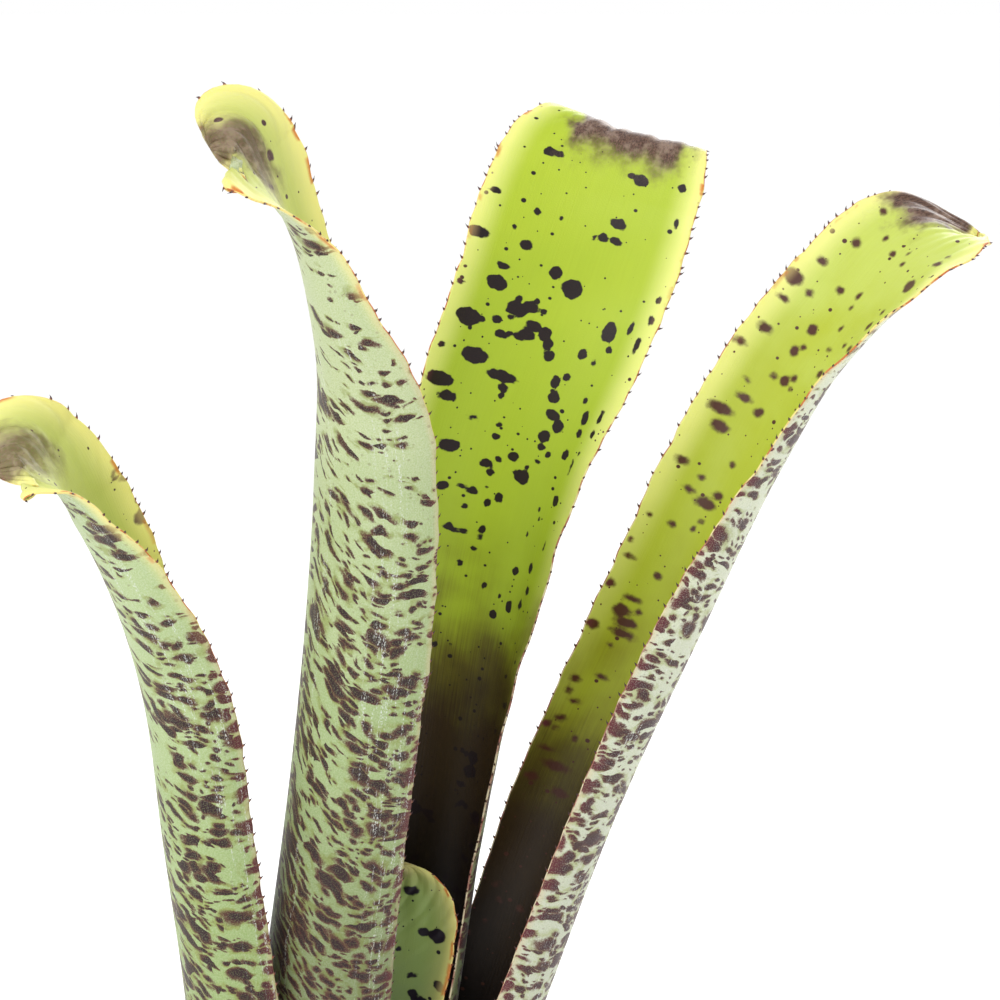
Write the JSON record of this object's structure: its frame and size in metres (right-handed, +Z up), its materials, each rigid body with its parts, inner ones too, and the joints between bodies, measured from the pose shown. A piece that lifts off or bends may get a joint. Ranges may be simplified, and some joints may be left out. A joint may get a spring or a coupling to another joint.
{
  "type": "potted bromeliad",
  "caption": "Tubular rosette of spotted, spine-edged strap leaves with recurved tips, growing in potting mix in a plain terracotta pot.",
  "frame": {"origin": "centre of the pot's underside, on the surface that it stands on; the plant's axis is the Z axis", "axes": "+Z up; seen from the front (along +Y), leaf_left leans to -X and leaf_right leans to +X"},
  "size_m": [0.2787, 0.1581, 0.5277],
  "materials": {
    "terracotta": "unglazed, matt",
    "bark_mix": null,
    "stock": "woody plant stock",
    "leaf_front": "leathery leaf, silvery outer face with purple-brown blotches",
    "leaf_left": "leathery leaf, silvery outer face with purple-brown blotches",
    "leaf_back": "leathery leaf, lime inner face with near-black spots",
    "leaf_right": "leathery leaf, lime inner face with brown spots",
    "leaf_young": "leathery young leaf, mid green with dark spots",
    "old_leaf": "leathery old leaf, dull green drying to tan"
  },
  "bodies": {
    "root": {"pot": "terracotta", "potting_mix": "bark_mix", "stem": "stock", "leaf_front": "leaf_front", "leaf_left": "leaf_left", "leaf_back": "leaf_back", "leaf_right": "leaf_right", "leaf_young": "leaf_young", "basal_leaf_front": "old_leaf", "basal_leaf_left": "old_leaf"}
  },
  "joints": []
}
